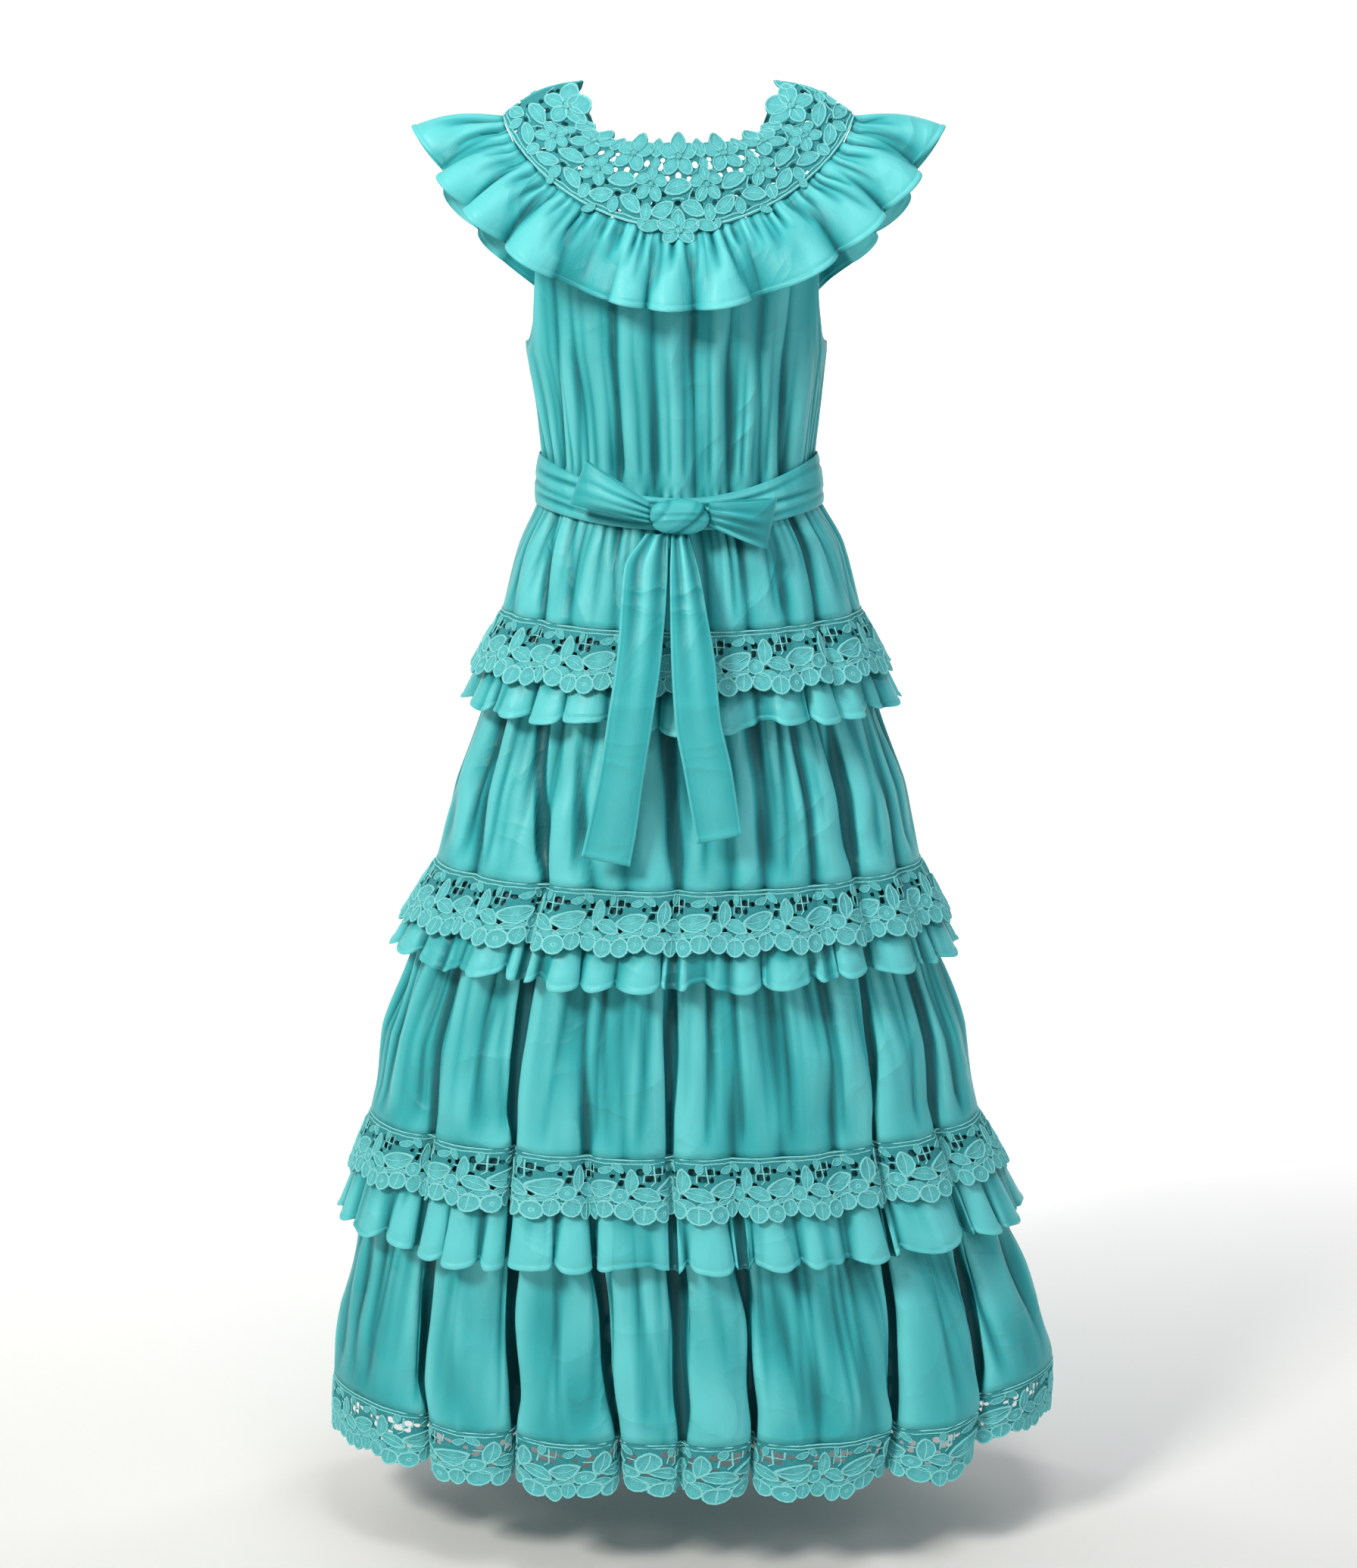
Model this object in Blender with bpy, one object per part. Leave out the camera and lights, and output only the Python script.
"""Tiered maxi dress of turquoise cotton with guipure lace, worn shape with nobody in it.

Metres, +Z up, the front faces -Y. Names with left and right are as seen from the front.
The origin lies between the shoulder tops, where the dress hangs on its wearer.
Every piece of cloth is a thin closed wall with its own object.
"""
import math
from collections import namedtuple

import bmesh
import bpy
import numpy as np

# Walls and gaps
CLOTH = 0.0012
LACE = 0.0015
SEAM_GAP = 0.0004
EDGE_GAP = 0.0004

# Cross sections of the dress: height at the side seams, half width, depth in front of and
# behind the side seams, sideways shift, and how far the front hangs below the sides
Level = namedtuple("Level", "name z half_width front back shift drop")
LEVELS = [
    Level("bust", -0.245, 0.1425, 0.112, 0.104, -0.002, 0.000),
    Level("rib", -0.305, 0.1345, 0.104, 0.098, 0.000, 0.000),
    Level("waist", -0.365, 0.1290, 0.099, 0.094, 0.000, 0.000),
    Level("hip", -0.430, 0.1565, 0.117, 0.112, 0.003, 0.003),
    Level("seam_1", -0.490, 0.1725, 0.130, 0.128, 0.003, 0.006),
    Level("frill_1", -0.575, 0.1950, 0.138, 0.140, 0.002, 0.004),
    Level("middle_2", -0.655, 0.2180, 0.147, 0.154, 0.002, 0.002),
    Level("seam_2", -0.735, 0.2370, 0.156, 0.166, 0.000, 0.000),
    Level("frill_2", -0.820, 0.2640, 0.162, 0.177, -0.004, 0.000),
    Level("middle_3", -0.905, 0.2900, 0.168, 0.187, -0.004, 0.000),
    Level("seam_3", -0.992, 0.3040, 0.172, 0.195, -0.004, -0.001),
    Level("frill_3", -1.098, 0.3300, 0.180, 0.204, 0.003, -0.002),
    Level("middle_4", -1.190, 0.3520, 0.187, 0.212, 0.010, -0.003),
    Level("seam_4", -1.277, 0.3670, 0.192, 0.218, 0.015, -0.004),
    Level("hem", -1.335, 0.3680, 0.195, 0.221, 0.013, -0.004),
]

HEM_SEAM_Z = LEVELS[-2].z
HEM_Z = LEVELS[-1].z

# Valleys between the hanging folds. Angles are in degrees round the dress, 0 at the front
# centre and positive to the right. Half widths and depths are in millimetres.
Fold = namedtuple("Fold", "name half_width "
                  "angle_bust angle_waist angle_seam_2 angle_hem "
                  "deep_bust deep_waist deep_seam_1 deep_seam_2 deep_seam_3 deep_hem")
FOLDS = [
    Fold("left_side", 48, -80, -78, -57, -46, 0, 2, 3, 8, 16, 30),
    Fold("left_deep", 52, -53, -61, -33, -29, 6, 7, 10, 16, 26, 38),
    Fold("left_soft", 46, -42, -47, -20, -11, 4, 5, 4, 6, 14, 40),
    Fold("left_gather", 34, -24, -26, -12, -5, 5, 5, 3, 3, 3, 4),
    Fold("centre_left", 44, -9, -10, 0, -2, 6, 6, 5, 11, 20, 20),
    Fold("centre_right", 46, 6, 7, 12, 9, 8, 7, 5, 4, 8, 42),
    Fold("right_gather", 34, 20, 22, 20, 19, 5, 6, 4, 5, 4, 3),
    Fold("right_soft", 34, 33, 37, 33, 27, 4, 5, 4, 7, 8, 4),
    Fold("right_deep", 52, 46, 51, 47, 32, 7, 8, 9, 13, 24, 42),
    Fold("right_side", 48, 76, 77, 66, 51, 0, 2, 3, 8, 16, 30),
    Fold("back_1", 46, 112, 112, 99, 94, 0, 3, 4, 8, 16, 26),
    Fold("back_2", 44, 133, 131, 120, 117, 4, 5, 5, 8, 13, 22),
    Fold("back_3", 50, 151, 149, 141, 139, 5, 7, 7, 11, 20, 34),
    Fold("back_4", 42, 168, 167, 160, 159, 5, 6, 4, 7, 11, 20),
    Fold("back_5", 52, -174, -173, -179, -180, 6, 7, 7, 12, 22, 32),
    Fold("back_6", 42, -157, -155, -160, -160, 5, 6, 4, 6, 12, 22),
    Fold("back_7", 50, -140, -138, -140, -140, 5, 7, 7, 12, 20, 33),
    Fold("back_8", 44, -123, -122, -119, -118, 4, 5, 4, 7, 13, 20),
    Fold("back_9", 46, -105, -106, -98, -95, 0, 3, 4, 8, 15, 26),
]
FOLD_ANGLE_LEVELS = ("bust", "waist", "seam_2", "hem")
FOLD_DEEP_LEVELS = ("bust", "waist", "seam_1", "seam_2", "seam_3", "hem")
FOLD_NARROWING = 0.8
VALLEY_LIFT = 0.20

# Neck ring of lace, from the neckline out to the seam of the collar frill
NECK_HALF_WIDTH = 0.091
NECK_DEPTH = 0.078
NECK_DIP_FRONT = 0.056
NECK_DIP_BACK = 0.095
NECK_ROUNDING = 1.3
NECK_SQUARENESS = 2.5
YOKE_HALF_WIDTH = 0.163
YOKE_DEPTH = 0.106
YOKE_SHOULDER_Z = -0.030
YOKE_DIP_FRONT = 0.103
YOKE_DIP_BACK = 0.140
YOKE_DIP_POWER = 1.5
YOKE_CROWN = 0.007
YOKE_REPEATS = 7
YOKE_ROWS = (0.0, 0.16, 0.32, 0.56, 0.72, 1.0)
YOKE_HOLE_ROWS = (1, 3)
YOKE_PETAL = 0.004

# Collar frill
COLLAR_HALF_WIDTH = 0.237
COLLAR_FRONT = 0.146
COLLAR_BACK = 0.140
COLLAR_TIP_Z = -0.050
COLLAR_DIP_FRONT = 0.155
COLLAR_DIP_BACK = 0.190
COLLAR_DIP_POWER_FRONT = 1.55
COLLAR_DIP_POWER_BACK = 1.35
COLLAR_BULGE = 0.007
COLLAR_WAVE = 0.008
COLLAR_MIDDLE_WAVE = 0.45
COLLAR_WAVES_PER_HALF = 12

# Body panels: where the armhole leaves the yoke seam, and its lowest point
BODY_COLUMNS_FRONT = 28
BODY_COLUMNS_BACK = 20
ARMHOLE_BODY_ANGLE = 60.0
ARMHOLE_YOKE_ANGLE = 57.0
UNDERARM_Z = -0.237
ARMHOLE_SCOOP = 0.010
BODY_TOP_IN = 0.0032
BODY_TOP_DOWN = 0.0018

# Lace bands: one repeat has a solid leaf, an opening and a solid leaf
REPEAT_SHARES = (0.0, 0.40, 0.60)
BAND_HEIGHTS = (0.0, 0.009, 0.021, 0.056)
BAND_SCALLOP = 0.007
BAND_HOLE_ROW = 1
HOLE_COLUMN = 1
BAND_CLEARANCE = 0.0064

# Frills under the lace bands
FRILL_FLARE = 0.0125
FRILL_WAVE = 0.0060
FRILL_STEPS_PER_WAVE = 4
PANEL_UNDER_FRILL = 0.0065

# Joints between tiers: seam level, frill level, middle and end of the panel below, lace
# repeats in half a turn, and the shares of the frill's length at which its rows stand
Joint = namedtuple("Joint", "number seam frill middle next_seam repeats_per_half frill_rows")
JOINTS = [
    Joint(1, "seam_1", "frill_1", "middle_2", "seam_2", 8, (0.0, 1.0)),
    Joint(2, "seam_2", "frill_2", "middle_3", "seam_3", 11, (0.0, 1.0)),
    Joint(3, "seam_3", "frill_3", "middle_4", "seam_4", 14, (0.0, 0.5, 1.0)),
]
HEM_REPEATS_PER_HALF = 16

# Sash with its bow
SASH_COLUMNS = 36
SASH_OUT = 0.0024
SASH_SIDE_Z = -0.365
SASH_FRONT_DROP = 0.025
SASH_HALF_HEIGHT = 0.0235
SASH_FRONT_NARROWING = 0.009
KNOT_CENTRE = (0.001, -0.1247, -0.3900)
KNOT_HALF_SIZE = (0.027, 0.0145, 0.0160)
KNOT_BOXINESS = 2.6
KNOT_SEGMENTS = 12
KNOT_RINGS = 8

# A loop goes out along its rear layer, turns and comes back in front: share of its length,
# and how far the path lies in front of the rear layer
LoopStep = namedtuple("LoopStep", "out forward")
LOOP_PATH = [
    LoopStep(0.00, 0.0040), LoopStep(0.35, 0.0010), LoopStep(0.72, 0.0000),
    LoopStep(0.95, 0.0010), LoopStep(1.00, 0.0055), LoopStep(0.95, 0.0105),
    LoopStep(0.70, 0.0130), LoopStep(0.35, 0.0125), LoopStep(0.00, 0.0085),
]
LOOP_REAR_Y = -0.1145
LOOP_TURN_BACK = 0.25
# Corners of a loop as x and z: at the knot and at the outer end, upper then lower
Loop = namedtuple("Loop", "name knot_x knot_top knot_low end_top_x end_top_z end_low_x end_low_z")
LOOPS = [
    Loop("sash_loop_left", -0.0259, -0.3775, -0.3960, -0.0850, -0.3400, -0.1000, -0.3800),
    Loop("sash_loop_right", 0.0280, -0.3775, -0.3990, 0.0900, -0.3750, 0.0810, -0.4215),
]

# Tails: height, left and right edges and the depth at which they hang over the frills
TailRow = namedtuple("TailRow", "z left right y")
TAILS = {
    "sash_tail_left": [
        TailRow(-0.4059, -0.0300, -0.0095, -0.1235), TailRow(-0.4350, -0.0495, -0.0098, -0.1370),
        TailRow(-0.5080, -0.0555, -0.0148, -0.1590), TailRow(-0.5700, -0.0646, -0.0232, -0.1690),
        TailRow(-0.6220, -0.0725, -0.0315, -0.1700), TailRow(-0.6750, -0.0834, -0.0390, -0.1690),
        TailRow(-0.7030, -0.0895, -0.0445, -0.1680),
    ],
    "sash_tail_right": [
        TailRow(-0.4065, -0.0065, 0.0090, -0.1235), TailRow(-0.4410, -0.0078, 0.0193, -0.1390),
        TailRow(-0.4800, -0.0075, 0.0267, -0.1510), TailRow(-0.5140, -0.0068, 0.0329, -0.1600),
        TailRow(-0.5700, -0.0035, 0.0385, -0.1690), TailRow(-0.6150, 0.0045, 0.0483, -0.1700),
        TailRow(-0.6820, 0.0167, 0.0584, -0.1690),
    ],
}
TAIL_CROWN = 0.0025

# Colours, linear
POPLIN_COLOUR = (0.075, 0.50, 0.47, 1.0)
LACE_COLOUR = (0.070, 0.46, 0.44, 1.0)
ARC_SAMPLES = 181
SHARP_ANGLE = math.radians(50.0)


def clear_scene():
    """Remove every object of the start scene."""
    for item in list(bpy.data.objects):
        bpy.data.objects.remove(item, do_unlink=True)


def cloth_material(name, colour, roughness):
    """Return a plain Principled material."""
    material = bpy.data.materials.new(name)
    material.use_nodes = True
    shader = material.node_tree.nodes["Principled BSDF"]
    shader.inputs["Base Color"].default_value = colour
    shader.inputs["Roughness"].default_value = roughness
    shader.inputs["Metallic"].default_value = 0.0
    return material


def level_named(name):
    """Return the cross section with this name."""
    return next(level for level in LEVELS if level.name == name)


def level_at(z):
    """Return the cross section at any height, straight between the table's rows."""
    heights = [level.z for level in reversed(LEVELS)]
    values = {}
    for field in ("half_width", "front", "back", "shift", "drop"):
        column = [getattr(level, field) for level in reversed(LEVELS)]
        values[field] = float(np.interp(z, heights, column))
    return Level("between", z, **values)


def fold_value(fold, prefix, names, z):
    """Read a fold's angle or depth at a height, straight between its columns."""
    heights = [level_named(name).z for name in reversed(names)]
    column = [getattr(fold, prefix + name) for name in reversed(names)]
    return float(np.interp(z, heights, column))


def half_turn_angles(shares, half_width, depth):
    """Angles from +90 to -90 degrees that divide half an ellipse evenly by length."""
    angles = np.radians(np.linspace(90.0, -90.0, ARC_SAMPLES))
    x = half_width * np.sin(angles)
    y = depth * np.cos(angles)
    steps = np.hypot(np.diff(x), np.diff(y))
    length = np.concatenate(([0.0], np.cumsum(steps)))
    return np.interp(np.asarray(shares) * length[-1], length, angles)


def compass(shares, level):
    """Angles round the dress for shares of a turn: right side, front, left side, back."""
    shares = np.asarray(shares, dtype=float)
    front = half_turn_angles(np.clip(shares * 2.0, 0.0, 1.0), level.half_width, level.front)
    back = half_turn_angles(np.clip(2.0 - shares * 2.0, 0.0, 1.0), level.half_width, level.back)
    return np.where(shares <= 0.5, front, math.pi - back)


def ring(level, angles, folds=1.0):
    """Points and smooth outward directions of the dress at a level.

    Folds push the points inwards, and at the hem the cloth in a valley hangs a little higher.
    """
    angles = np.asarray(angles, dtype=float)
    depth = np.where(np.cos(angles) >= 0.0, level.front, level.back)
    across = np.sin(angles)
    along = np.cos(angles)
    outward = np.stack([across * depth, -along * level.half_width, np.zeros_like(angles)], axis=-1)
    outward /= np.linalg.norm(outward, axis=-1, keepdims=True)
    stride = np.hypot(level.half_width * along, depth * across)
    narrowing = (level.half_width / level_named("hem").half_width) ** FOLD_NARROWING
    inward = np.zeros_like(angles)
    for fold in FOLDS:
        centre = math.radians(fold_value(fold, "angle_", FOLD_ANGLE_LEVELS, level.z))
        deep = fold_value(fold, "deep_", FOLD_DEEP_LEVELS, level.z) * 0.001
        turn = (angles - centre + math.pi) % (2.0 * math.pi) - math.pi
        apart = np.abs(turn) * stride / (fold.half_width * 0.001 * narrowing)
        inward += deep * np.clip(1.0 - apart, 0.0, 1.0) ** 2
    inward *= folds
    points = np.stack([level.half_width * across + level.shift, -depth * along,
                       np.full_like(angles, level.z)], axis=-1)
    points -= outward * inward[..., None]
    lift = VALLEY_LIFT * float(np.interp(level.z, (HEM_Z, HEM_SEAM_Z), (1.0, 0.0)))
    points[..., 2] += lift * inward - level.drop * np.clip(along, 0.0, 1.0) ** 2
    return points, outward


def grid_normals(grid, closed, side_seams=False):
    """Outward unit normals of a grid whose rows go down and columns go from right to left.

    At side seams the end columns lie in the plane y = 0, and so do their normals.
    """
    if closed:
        across = np.roll(grid, -1, axis=1) - np.roll(grid, 1, axis=1)
    else:
        across = np.gradient(grid, axis=1)
    down = np.gradient(grid, axis=0)
    normals = np.cross(across, down)
    if side_seams:
        normals[:, (0, -1), 1] = 0.0
    return normals / np.linalg.norm(normals, axis=-1, keepdims=True)


def cloth_wall(name, outer, thickness, material, closed=False, side_seams=False, holes=()):
    """Build one closed wall from its outer grid of points.

    Args:
        outer: rows by columns by xyz; the inner face lies one thickness behind it.
        closed: whether the last column joins the first, as on a tube.
        side_seams: whether the first and last columns meet another half at the sides.
        holes: cells (row, column) that are cut through the wall.
    """
    rows, columns = outer.shape[:2]
    inner = outer - grid_normals(outer, closed, side_seams) * thickness
    cells_across = columns if closed else columns - 1
    solid = {(r, c) for r in range(rows - 1) for c in range(cells_across)} - set(holes)

    def index(side, r, c):
        return side * rows * columns + r * columns + c % columns

    def cell(r, c):
        return (r, c % columns) if closed else (r, c)

    faces = []
    for r, c in sorted(solid):
        corners = [(r, c), (r, c + 1), (r + 1, c + 1), (r + 1, c)]
        spots = [outer[row, column % columns] for row, column in corners]
        # Both faces of a twisted cell are split along the same, shorter diagonal
        turned = int(np.linalg.norm(spots[0] - spots[2]) > np.linalg.norm(spots[1] - spots[3]))
        split = corners[turned:] + corners[:turned]
        for triangle in (split[:3], [split[0], split[2], split[3]]):
            faces.append([index(0, *corner) for corner in triangle])
            faces.append([index(1, *corner) for corner in reversed(triangle)])
        beyond = [cell(r - 1, c), cell(r, c + 1), cell(r + 1, c), cell(r, c - 1)]
        for side, neighbour in enumerate(beyond):
            if neighbour not in solid:
                start = corners[side]
                end = corners[(side + 1) % 4]
                faces.append([index(0, *end), index(0, *start), index(1, *start), index(1, *end)])
    points = np.concatenate([outer.reshape(-1, 3), inner.reshape(-1, 3)])
    return solid_object(name, points, faces, material)


def solid_object(name, points, faces, material):
    """Turn points and faces into a smooth object with its faces pointing out."""
    mesh = bpy.data.meshes.new(name)
    mesh.from_pydata([tuple(point) for point in points], [], faces)
    shape = bmesh.new()
    shape.from_mesh(mesh)
    loose = [vert for vert in shape.verts if not vert.link_faces]
    bmesh.ops.delete(shape, geom=loose, context="VERTS")
    bmesh.ops.recalc_face_normals(shape, faces=shape.faces)
    shape.to_mesh(mesh)
    shape.free()
    mesh.shade_smooth()
    mesh.set_sharp_from_angle(angle=SHARP_ANGLE)
    mesh.materials.append(material)
    item = bpy.data.objects.new(name, mesh)
    bpy.context.scene.collection.objects.link(item)
    return item


def trim_ends(grid, gap):
    """Draw the first and last columns of an open grid in by a gap along the rows."""
    trimmed = grid.copy()
    for edge, inside in ((0, 1), (-1, -2)):
        along = grid[:, inside] - grid[:, edge]
        length = np.linalg.norm(along, axis=-1, keepdims=True)
        trimmed[:, edge] = grid[:, edge] + along / length * gap
    return trimmed


def ring_normals(points):
    """Outward directions of a closed ring that runs from right to left across the front."""
    along = np.roll(points, -1, axis=0) - np.roll(points, 1, axis=0)
    normals = np.cross(along, np.array([0.0, 0.0, -1.0]))
    return normals / np.linalg.norm(normals, axis=-1, keepdims=True)


def with_midpoints(points):
    """Add the middle of each side to a closed ring of points."""
    middles = (points + np.roll(points, -1, axis=0)) * 0.5
    return np.stack([points, middles], axis=1).reshape(-1, 3)


def repeat_shares(repeats_per_half):
    """Shares of a turn at which the columns of a lace band stand."""
    repeats = repeats_per_half * 2
    return np.array([(k + share) / repeats for k in range(repeats) for share in REPEAT_SHARES])


def seam_ring(joint):
    """Outer edge of a tier seam, as the polygon that all its layers share."""
    level = level_named(joint.seam)
    points, outward = ring(level, compass(repeat_shares(joint.repeats_per_half), level))
    points[:, 2] -= EDGE_GAP * 0.5
    return points, outward


def frill_ring(joint):
    """The same columns as the seam's, at the height of the frill's lower edge."""
    level = level_named(joint.frill)
    return ring(level, compass(repeat_shares(joint.repeats_per_half), level))


def make_frill(joint, material):
    """Gathered frill: it hangs from its tier seam and stands off the panel below."""
    seam = seam_ring(joint)[0]
    low, low_outward = frill_ring(joint)
    inset = LACE + SEAM_GAP
    top = with_midpoints(seam - ring_normals(seam) * inset)
    bottom = with_midpoints(low)
    stand = with_midpoints(low_outward)
    steps = np.arange(len(bottom))
    wave = np.cos(steps * 2.0 * math.pi / FRILL_STEPS_PER_WAVE) * FRILL_WAVE
    bottom = bottom + stand * (FRILL_FLARE + wave)[:, None]
    grid = np.stack([top + (bottom - top) * share for share in joint.frill_rows])
    cloth_wall(f"frill_{joint.number}", grid, CLOTH, material, closed=True)


def band_grid(top, top_outward, low, low_outward, drop, flare, repeats_per_half):
    """Rows of a lace band between a seam ring and a lower ring a given drop below it."""
    rows = []
    scallop = np.tile([1.0, 0.0, 0.0], repeats_per_half * 2) * BAND_SCALLOP
    for height in BAND_HEIGHTS:
        share = np.full(len(top), height / drop)
        if height == BAND_HEIGHTS[-1]:
            share -= scallop / drop
        share = share[:, None]
        base = top * (1.0 - share) + low * share
        outward = top_outward * (1.0 - share) + low_outward * share
        rows.append(base + outward * flare * share)
    return np.stack(rows)


def halves(grid):
    """Cut a closed grid at the side seams into an open front and back grid."""
    middle = grid.shape[1] // 2
    front = grid[:, :middle + 1]
    back = np.concatenate([grid[:, middle:], grid[:, :1]], axis=1)
    return (("front", trim_ends(front, SEAM_GAP)), ("back", trim_ends(back, SEAM_GAP)))


def make_band(prefix, grid, material):
    """Front and back of a scalloped lace band, with the largest opening of each repeat."""
    for side, half in halves(grid):
        columns = half.shape[1] - 1
        holes = [(BAND_HOLE_ROW, c) for c in range(HOLE_COLUMN, columns, len(REPEAT_SHARES))]
        cloth_wall(f"{prefix}_{side}", half, LACE, material, side_seams=True, holes=holes)


def make_lace_band(joint, material):
    """Lace band that starts at a tier seam and lies over the frill."""
    seam, outward = seam_ring(joint)
    low, low_outward = frill_ring(joint)
    drop = level_named(joint.seam).z - level_named(joint.frill).z
    flare = FRILL_FLARE + FRILL_WAVE + BAND_CLEARANCE
    grid = band_grid(seam, outward, low, low_outward, drop, flare, joint.repeats_per_half)
    make_band(f"lace_band_{joint.number}", grid, material)


def make_hem_lace(material):
    """Scalloped lace below the last panel, edge to edge with it."""
    level = level_named("seam_4")
    hem = level_named("hem")
    shares = repeat_shares(HEM_REPEATS_PER_HALF)
    top, top_outward = ring(level, compass(shares, level))
    top[:, 2] -= EDGE_GAP * 0.5
    low, low_outward = ring(hem, compass(shares, hem))
    drop = level.z - hem.z
    make_band("hem_lace", band_grid(top, top_outward, low, low_outward, drop, 0.0,
                                    HEM_REPEATS_PER_HALF), material)


def make_tier_panel(joint, material):
    """Front and back of the gathered tube from inside a frill down to the next seam."""
    seam = seam_ring(joint)[0]
    inset = LACE + CLOTH + 2.0 * SEAM_GAP
    top = seam - ring_normals(seam) * inset
    low, low_outward = frill_ring(joint)
    low = low - low_outward * PANEL_UNDER_FRILL
    rows = [top + (low - top) * share for share in joint.frill_rows]
    for name in (joint.middle, joint.next_seam):
        level = level_named(name)
        rows.append(ring(level, compass(repeat_shares(joint.repeats_per_half), level))[0])
    rows[-1][:, 2] += EDGE_GAP * 0.5
    for side, half in halves(np.stack(rows)):
        cloth_wall(f"tier_{joint.number + 1}_panel_{side}", half, CLOTH, material, side_seams=True)


def neck_edge(angles):
    """Neckline of the lace ring."""
    along = np.cos(angles)
    dip = np.where(along >= 0.0, NECK_DIP_FRONT, NECK_DIP_BACK)
    fall = 1.0 - (1.0 - np.abs(along) ** NECK_ROUNDING) ** NECK_SQUARENESS
    return np.stack([NECK_HALF_WIDTH * np.sin(angles), -NECK_DEPTH * along, -dip * fall], axis=-1)


def yoke_seam(angles):
    """Outer edge of the lace ring, to which the frill and the body are sewn."""
    along = np.cos(angles)
    dip = np.where(along >= 0.0, YOKE_DIP_FRONT, YOKE_DIP_BACK)
    fall = dip * np.abs(along) ** YOKE_DIP_POWER
    return np.stack([YOKE_HALF_WIDTH * np.sin(angles), -YOKE_DEPTH * along,
                     YOKE_SHOULDER_Z - fall], axis=-1)


def collar_hem(angles):
    """Lower edge of the collar frill before its waves."""
    along = np.cos(angles)
    depth = np.where(along >= 0.0, COLLAR_FRONT, COLLAR_BACK)
    dip = np.where(along >= 0.0, COLLAR_DIP_FRONT, COLLAR_DIP_BACK)
    power = np.where(along >= 0.0, COLLAR_DIP_POWER_FRONT, COLLAR_DIP_POWER_BACK)
    fall = dip * np.abs(along) ** power
    return np.stack([COLLAR_HALF_WIDTH * np.sin(angles), -depth * along,
                     COLLAR_TIP_Z - fall], axis=-1)


def side_angles(shares, side, half_width, depth):
    """Angles of the front or back half, from the right shoulder or the left one."""
    angles = half_turn_angles(shares, half_width, depth)
    return angles if side == "front" else angles - math.pi


def make_yoke(side, material):
    """Half of the lace ring round the neck."""
    shares = [(k + share) / YOKE_REPEATS for k in range(YOKE_REPEATS) for share in REPEAT_SHARES]
    shares.append(1.0)
    angles = side_angles(shares, side, YOKE_HALF_WIDTH, YOKE_DEPTH)
    inner = neck_edge(angles)
    outer = yoke_seam(angles)
    across = outer - inner
    petal = np.array([0.0, 1.0, 1.0] * YOKE_REPEATS + [0.0]) * YOKE_PETAL
    length = np.linalg.norm(across, axis=-1)
    rows = []
    for share in YOKE_ROWS:
        row = inner + across * share
        row[:, 2] += YOKE_CROWN * math.sin(math.pi * share)
        if share == 0.0:
            row = row - across * (petal / length)[:, None]
        rows.append(row)
    columns = len(shares) - 1
    holes = [(r, c) for r in YOKE_HOLE_ROWS for c in range(HOLE_COLUMN, columns, len(REPEAT_SHARES))]
    grid = trim_ends(np.stack(rows), SEAM_GAP)
    cloth_wall(f"yoke_lace_{side}", grid, LACE, material, side_seams=True, holes=holes)


def make_collar(side, material):
    """Half of the gathered collar frill, fuller towards its edge."""
    steps = np.arange(COLLAR_WAVES_PER_HALF * FRILL_STEPS_PER_WAVE + 1)
    depth = COLLAR_FRONT if side == "front" else COLLAR_BACK
    angles = side_angles(steps / steps[-1], side, COLLAR_HALF_WIDTH, depth)
    seam = yoke_seam(angles)
    hem = collar_hem(angles)
    down = hem - seam
    down /= np.linalg.norm(down, axis=-1, keepdims=True)
    top = seam + down * EDGE_GAP
    plain = np.stack([top, (top + hem) * 0.5, hem])
    normals = grid_normals(plain, False, side_seams=True)
    wave = np.cos(steps * 2.0 * math.pi / FRILL_STEPS_PER_WAVE) * COLLAR_WAVE
    middle = plain[1] + normals[1] * (COLLAR_BULGE + wave * COLLAR_MIDDLE_WAVE)[:, None]
    low = plain[2] + normals[2] * wave[:, None]
    grid = trim_ends(np.stack([top, middle, low]), SEAM_GAP)
    cloth_wall(f"collar_ruffle_{side}", grid, CLOTH, material, side_seams=True)


def body_top(angles, side):
    """Top edge of a body panel: along the yoke seam, then down round the armhole."""
    turn = np.degrees(np.arctan2(np.abs(np.sin(angles)), np.abs(np.cos(angles))))
    sign = np.sign(np.sin(angles))
    on_seam = np.clip(turn / ARMHOLE_BODY_ANGLE, 0.0, 1.0) * math.radians(ARMHOLE_YOKE_ANGLE)
    seam_angle = sign * (on_seam if side == "front" else math.pi - on_seam)
    seam = yoke_seam(seam_angle)
    inward = seam * np.array([1.0, 1.0, 0.0])
    inward /= np.linalg.norm(inward, axis=-1, keepdims=True)
    top = seam - inward * BODY_TOP_IN
    top[:, 2] -= BODY_TOP_DOWN
    bust = level_named("bust")
    past = np.clip((turn - ARMHOLE_BODY_ANGLE) / (90.0 - ARMHOLE_BODY_ANGLE), 0.0, 1.0)
    under = np.stack([sign * bust.half_width + bust.shift, np.zeros_like(angles),
                      np.full_like(angles, UNDERARM_Z)], axis=-1)
    bend = past * math.pi / 2.0
    round_share = np.stack([np.sin(bend), 1.0 - np.cos(bend), np.sin(bend)], axis=-1)
    edge = top * (1.0 - round_share) + under * round_share
    edge[:, 0] -= sign * ARMHOLE_SCOOP * np.sin(math.pi * past)
    return edge


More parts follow.
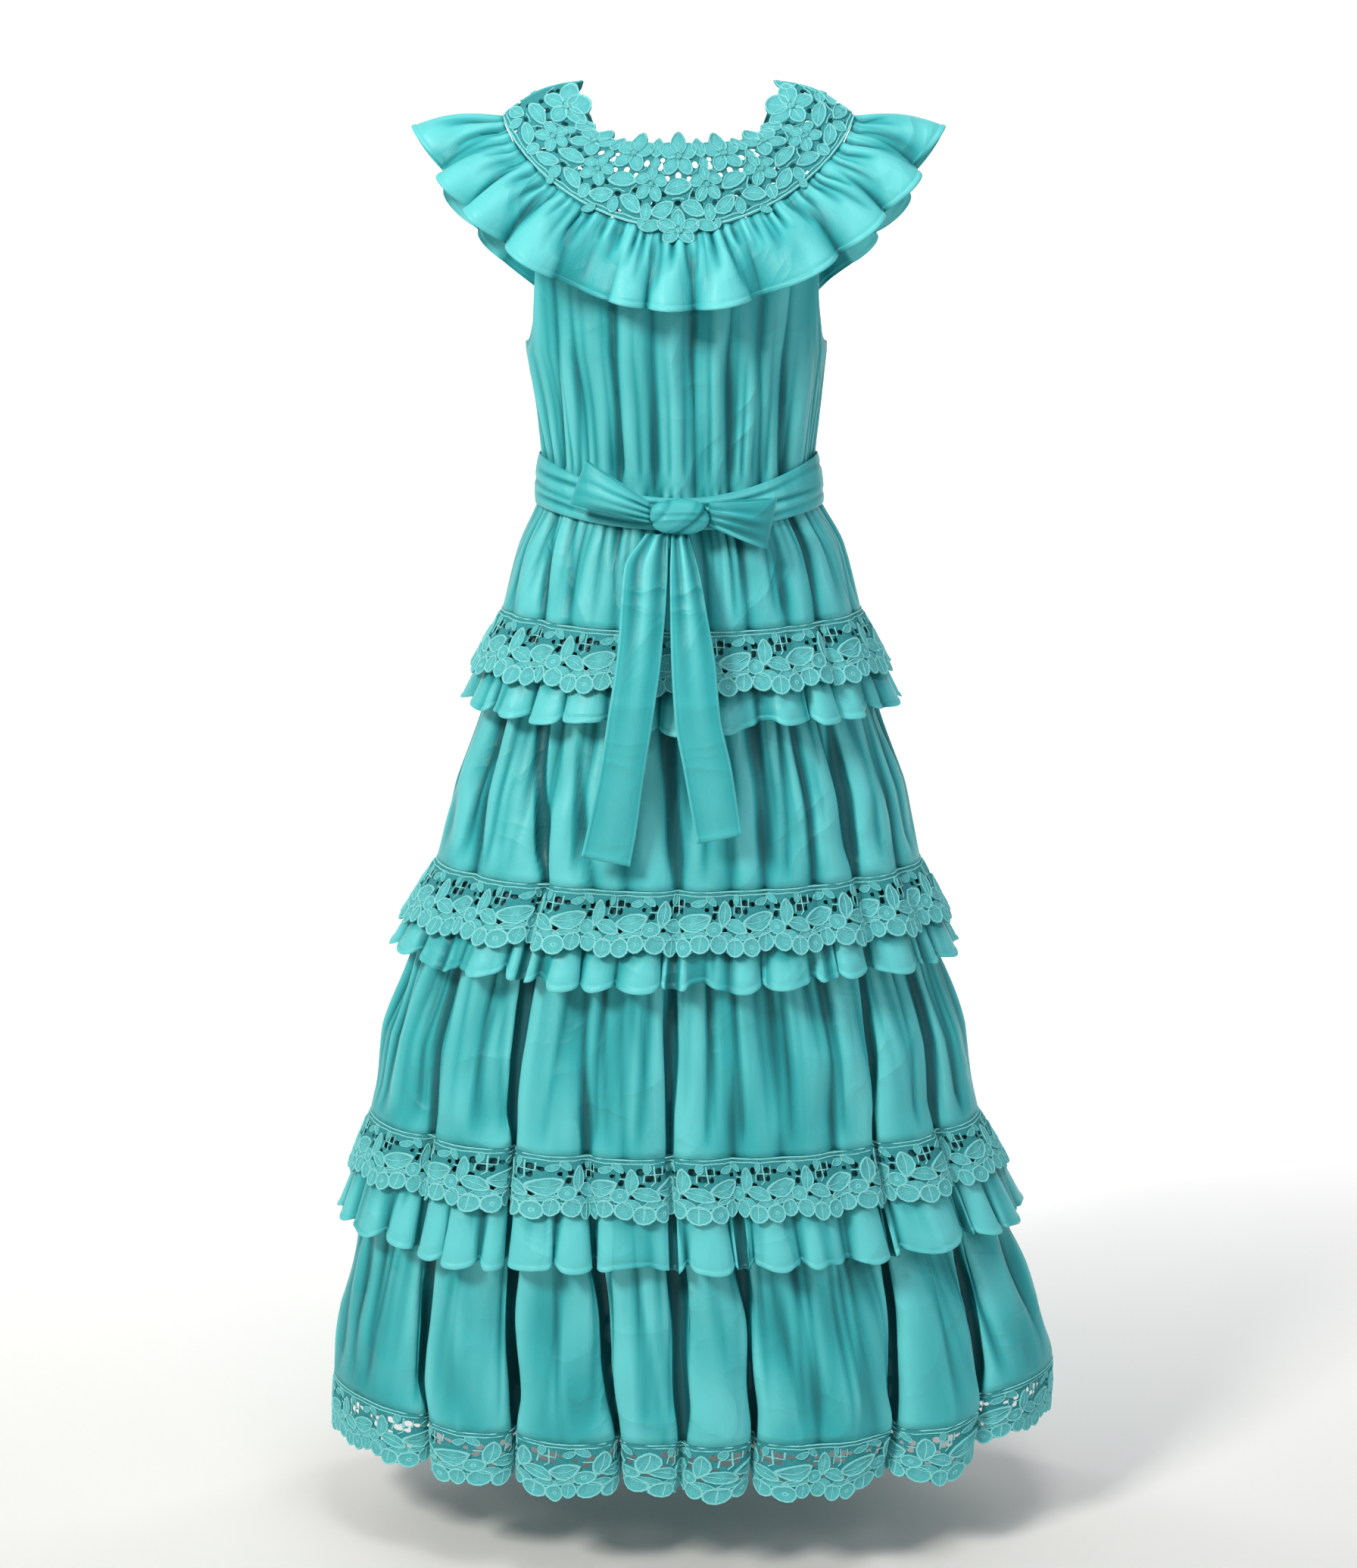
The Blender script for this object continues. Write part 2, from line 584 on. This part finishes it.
def make_body(side, columns, material):
    """Front or back of the body, from the yoke through the waist to the first lace band."""
    shares = np.arange(columns + 1) / columns
    rows = []
    for name in ("bust", "rib", "waist", "hip", "seam_1"):
        level = level_named(name)
        depth = level.front if side == "front" else level.back
        angles = side_angles(shares, side, level.half_width, depth)
        points = ring(level, angles)[0]
        if not rows:
            top = body_top(angles, side)
            rows.append(top)
            rows.append((top + points) * 0.5)
        rows.append(points)
    rows[-1][:, 2] += EDGE_GAP * 0.5
    grid = trim_ends(np.stack(rows), SEAM_GAP)
    cloth_wall(f"body_{side}", grid, CLOTH, material, side_seams=True)


def make_sash_band(material):
    """Band round the waist, lower and narrower towards the knot in front."""
    angles = np.linspace(0.0, -2.0 * math.pi, SASH_COLUMNS, endpoint=False) + math.pi / 2.0
    front = np.clip(np.cos(angles), 0.0, 1.0) ** 2
    middle = SASH_SIDE_Z - SASH_FRONT_DROP * front
    half = SASH_HALF_HEIGHT - SASH_FRONT_NARROWING * front
    rows = []
    for height in (middle + half, middle - half):
        row = []
        for angle, z in zip(angles, height):
            points, outward = ring(level_at(float(z)), [angle], folds=0.0)
            points[0] += outward[0] * SASH_OUT
            points[0][2] = z
            row.append(points[0])
        rows.append(row)
    cloth_wall("sash_band", np.array(rows), CLOTH, material, closed=True)


def make_knot(material):
    """Rounded knot of the sash, with its cloth drawn tight."""
    bpy.ops.mesh.primitive_uv_sphere_add(segments=KNOT_SEGMENTS, ring_count=KNOT_RINGS, radius=1.0)
    knot = bpy.context.active_object
    knot.name = "sash_knot"
    knot.data.name = "sash_knot"
    for vert in knot.data.vertices:
        size = sum(abs(value) ** KNOT_BOXINESS for value in vert.co) ** (1.0 / KNOT_BOXINESS)
        for axis in range(3):
            vert.co[axis] = KNOT_CENTRE[axis] + KNOT_HALF_SIZE[axis] * vert.co[axis] / size
    knot.data.shade_smooth()
    knot.data.materials.append(material)


def make_loop(loop, material):
    """One loop of the bow: a strip that goes out, turns and comes back in front of itself."""
    grid = []
    for step in LOOP_PATH:
        row = []
        for knot_z, end_x, end_z in ((loop.knot_top, loop.end_top_x, loop.end_top_z),
                                     (loop.knot_low, loop.end_low_x, loop.end_low_z)):
            x = loop.knot_x + (end_x - loop.knot_x) * step.out
            z = knot_z + (end_z - knot_z) * step.out
            rear = LOOP_REAR_Y + LOOP_TURN_BACK * (abs(x) - abs(loop.knot_x))
            row.append((x, rear - step.forward, z))
        grid.append(row)
    cloth_wall(loop.name, np.array(grid), CLOTH, material)


def make_tail(name, rows, material):
    """One tail of the sash, hanging over the first frill."""
    grid = []
    for row in rows:
        middle = (row.left + row.right) * 0.5
        grid.append([(row.right, row.y, row.z), (middle, row.y - TAIL_CROWN, row.z),
                     (row.left, row.y, row.z)])
    cloth_wall(name, np.array(grid), CLOTH, material)


def build_dress():
    """Build every piece of the dress."""
    clear_scene()
    poplin = cloth_material("cotton poplin, turquoise", POPLIN_COLOUR, 0.72)
    guipure = cloth_material("guipure lace, turquoise", LACE_COLOUR, 0.82)
    for side, columns in (("front", BODY_COLUMNS_FRONT), ("back", BODY_COLUMNS_BACK)):
        make_yoke(side, guipure)
        make_collar(side, poplin)
        make_body(side, columns, poplin)
    for joint in JOINTS:
        make_lace_band(joint, guipure)
        make_frill(joint, poplin)
        make_tier_panel(joint, poplin)
    make_hem_lace(guipure)
    make_sash_band(poplin)
    make_knot(poplin)
    for loop in LOOPS:
        make_loop(loop, poplin)
    for name, rows in TAILS.items():
        make_tail(name, rows, poplin)


build_dress()
